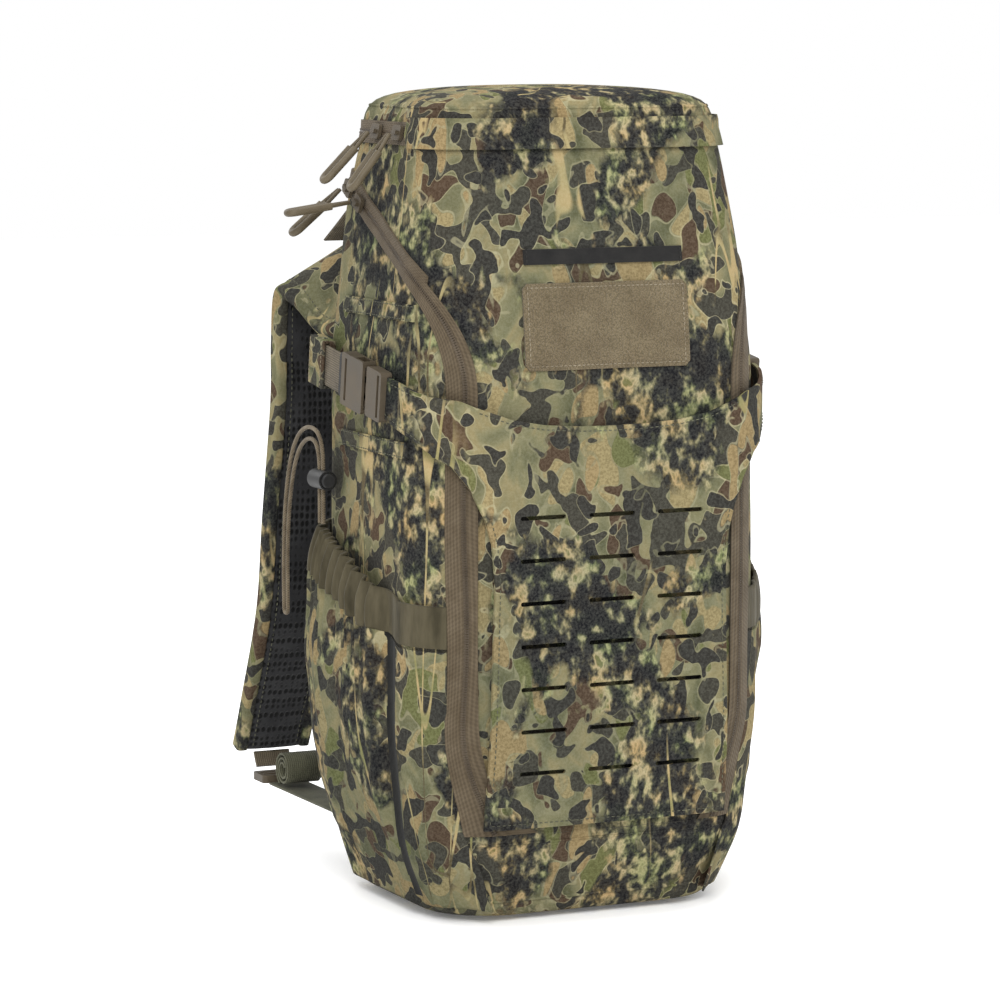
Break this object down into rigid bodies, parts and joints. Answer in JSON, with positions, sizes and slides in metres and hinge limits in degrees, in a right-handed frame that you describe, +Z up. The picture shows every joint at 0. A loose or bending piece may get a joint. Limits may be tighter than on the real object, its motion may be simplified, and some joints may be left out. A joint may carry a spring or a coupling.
{
  "type": "tactical daypack",
  "caption": "Camouflage clamshell daypack with a slotted stash flap, side pockets, zips, side-release buckles and padded shoulder straps.",
  "frame": {"origin": "middle of the flat base, on the surface the bag stands on", "axes": "+Z up, -Y towards the front with the stash flap, +Y towards the wearer, -X the wearer's left"},
  "size_m": [0.2936, 0.3168, 0.498],
  "materials": {
    "camo_fabric": "printed matt woven nylon",
    "stretch_hem": "gathered stretch nylon",
    "zip_tape": "coil zip on woven tape",
    "spacer_mesh": "open spacer mesh",
    "stiffener": "plain moulded sheet",
    "lining": "coated plain weave",
    "loop_pile": "loop pile",
    "woven_black": "tight woven tape",
    "tan_webbing": "ribbed webbing",
    "elastic": "ribbed elastic",
    "dark_webbing": "ribbed webbing",
    "tan_plastic": "fine moulded grain",
    "slider_metal": "painted die-cast",
    "tan_cord": "braided sheath",
    "black_plastic": "satin moulded"
  },
  "bodies": {
    "root": {"back_pad": "spacer_mesh", "back_panel": "camo_fabric", "base_panel": "camo_fabric", "buckle_anchors": "camo_fabric", "frame_sheet": "stiffener", "front_sill": "camo_fabric", "handle_tabs": "dark_webbing", "inner_sleeve": "lining", "load_lifters": "tan_webbing", "lower_webbing": "tan_webbing", "main_zip_rear": "zip_tape", "pocket_cord": "tan_cord", "pocket_hem_left": "stretch_hem", "pocket_hem_right": "stretch_hem", "shoulder_strap_left": "spacer_mesh", "shoulder_strap_right": "spacer_mesh", "side_bands": "camo_fabric", "side_panel_left": "camo_fabric", "side_panel_right": "camo_fabric", "side_pocket_left": "camo_fabric", "side_pocket_right": "camo_fabric", "strap_end_tabs": "tan_webbing", "webbing_rolls": "tan_webbing"},
    "front": {"front_panel": "camo_fabric", "crown_band": "camo_fabric", "lid_pocket_floor": "lining", "main_zip_front": "zip_tape", "top_zip_lower": "zip_tape", "loop_patch": "loop_pile", "woven_tab": "woven_black", "organiser_pocket": "lining"},
    "lid": {"top_lid": "camo_fabric", "top_zip_upper": "zip_tape"},
    "flap": {"stash_flap": "camo_fabric", "buckle_tongue_left": "tan_plastic", "buckle_tongue_right": "tan_plastic"},
    "handle": {"haul_handle": "dark_webbing"},
    "lock": {"cord_lock": "black_plastic"},
    "lock_button": {"cord_lock_button": "black_plastic"},
    "strap_left": {"buckle_socket_left": "tan_plastic", "buckle_strap_left": "tan_webbing", "strap_keeper_left": "elastic"},
    "prong_left_upper": {"buckle_prong_left_upper": "tan_plastic"},
    "prong_left_lower": {"buckle_prong_left_lower": "tan_plastic"},
    "ladder_left": {"ladder_lock_left": "tan_plastic"},
    "strap_right": {"buckle_socket_right": "tan_plastic", "buckle_strap_right": "tan_webbing", "strap_keeper_right": "elastic"},
    "prong_right_upper": {"buckle_prong_right_upper": "tan_plastic"},
    "prong_right_lower": {"buckle_prong_right_lower": "tan_plastic"},
    "ladder_right": {"ladder_lock_right": "tan_plastic"},
    "slider_main_front": {"slider_main_front": "slider_metal"},
    "pull_main_front": {"pull_main_front": "tan_cord"},
    "slider_main_rear": {"slider_main_rear": "slider_metal"},
    "pull_main_rear": {"pull_main_rear": "tan_cord"},
    "slider_top_front": {"slider_top_front": "slider_metal"},
    "pull_top_front": {"pull_top_front": "tan_cord"},
    "slider_top_rear": {"slider_top_rear": "slider_metal"},
    "pull_top_rear": {"pull_top_rear": "tan_cord"}
  },
  "joints": [
    {"name": "clamshell_hinge", "type": "hinge", "parent": "root", "child": "front", "pos_m": [0, -0.092, 0.055], "axis": [1, 0, 0], "range_deg": [0, 90]},
    {"name": "lid_hinge", "type": "hinge", "parent": "front", "child": "lid", "pos_m": [0, 0.074, 0.471], "axis": [-1, 0, 0], "range_deg": [0, 60]},
    {"name": "stash_flap_hinge", "type": "hinge", "parent": "front", "child": "flap", "pos_m": [0, -0.0995, 0.06], "axis": [1, 0, 0], "range_deg": [0, 60]},
    {"name": "haul_handle_hinge", "type": "hinge", "parent": "root", "child": "handle", "pos_m": [0, 0.1, 0.44], "axis": [-1, 0, 0], "range_deg": [0, 80]},
    {"name": "buckle_left_release", "type": "slide", "parent": "root", "child": "strap_left", "axis": [0, 0.9903, 0.1392], "range_m": [0, 0.022]},
    {"name": "prong_left_upper_squeeze", "type": "hinge", "parent": "flap", "child": "prong_left_upper", "pos_m": [-0.123, -0.02016, 0.32766], "axis": [-1, 0, 0], "range_deg": [0, 15]},
    {"name": "prong_left_lower_squeeze", "type": "hinge", "parent": "flap", "child": "prong_left_lower", "pos_m": [-0.123, -0.01766, 0.30984], "axis": [1, 0, 0], "range_deg": [0, 15]},
    {"name": "ladder_lock_left_tilt", "type": "hinge", "parent": "root", "child": "ladder_left", "pos_m": [-0.094, 0.206, 0.05], "axis": [-1, 0, 0], "range_deg": [0, 30]},
    {"name": "buckle_right_release", "type": "slide", "parent": "root", "child": "strap_right", "axis": [0, 0.9903, 0.1392], "range_m": [0, 0.022]},
    {"name": "prong_right_upper_squeeze", "type": "hinge", "parent": "flap", "child": "prong_right_upper", "pos_m": [0.123, -0.02016, 0.32766], "axis": [-1, 0, 0], "range_deg": [0, 15]},
    {"name": "prong_right_lower_squeeze", "type": "hinge", "parent": "flap", "child": "prong_right_lower", "pos_m": [0.123, -0.01766, 0.30984], "axis": [1, 0, 0], "range_deg": [0, 15]},
    {"name": "ladder_lock_right_tilt", "type": "hinge", "parent": "root", "child": "ladder_right", "pos_m": [0.094, 0.206, 0.05], "axis": [-1, 0, 0], "range_deg": [0, 30]},
    {"name": "slider_main_front_travel", "type": "slide", "parent": "root", "child": "slider_main_front", "axis": [-0.0568, -0.9028, -0.4263], "range_m": [0, 0.062]},
    {"name": "slider_main_rear_travel", "type": "slide", "parent": "root", "child": "slider_main_rear", "axis": [0, 1, 0], "range_m": [0, 0.015]},
    {"name": "slider_top_front_travel", "type": "slide", "parent": "front", "child": "slider_top_front", "axis": [0, -1, 0], "range_m": [0, 0.032]},
    {"name": "slider_top_rear_travel", "type": "slide", "parent": "front", "child": "slider_top_rear", "axis": [0, 1, 0], "range_m": [0, 0.024]},
    {"name": "pull_main_front_swing", "type": "hinge", "parent": "slider_main_front", "child": "pull_main_front", "pos_m": [-0.11296, 0.032, 0.42778], "axis": [0, 1, 0], "range_deg": [0, 50]},
    {"name": "pull_main_rear_swing", "type": "hinge", "parent": "slider_main_rear", "child": "pull_main_rear", "pos_m": [-0.1119, 0.05, 0.43578], "axis": [0, 1, 0], "range_deg": [0, 50]},
    {"name": "pull_top_rear_swing", "type": "hinge", "parent": "slider_top_rear", "child": "pull_top_rear", "pos_m": [-0.1067, 0.019, 0.47134], "axis": [0, 1, 0], "range_deg": [0, 50]},
    {"name": "pull_top_front_swing", "type": "hinge", "parent": "slider_top_front", "child": "pull_top_front", "pos_m": [-0.1067, -0.013, 0.47134], "axis": [0, 1, 0], "range_deg": [0, 50]},
    {"name": "cord_lock_slide", "type": "slide", "parent": "root", "child": "lock", "axis": [0, 0, -1], "range_m": [0, 0.018]},
    {"name": "cord_lock_button_press", "type": "slide", "parent": "lock", "child": "lock_button", "axis": [0, 1, 0], "range_m": [0, 0.0025], "stiffness_N_per_m": 400}
  ],
  "couplings": [
    {"joint": "prong_left_upper_squeeze", "follows": "buckle_left_release", "rad_per_m": 11.9},
    {"joint": "prong_left_lower_squeeze", "follows": "buckle_left_release", "rad_per_m": 11.9},
    {"joint": "prong_right_upper_squeeze", "follows": "buckle_right_release", "rad_per_m": 11.9},
    {"joint": "prong_right_lower_squeeze", "follows": "buckle_right_release", "rad_per_m": 11.9}
  ]
}
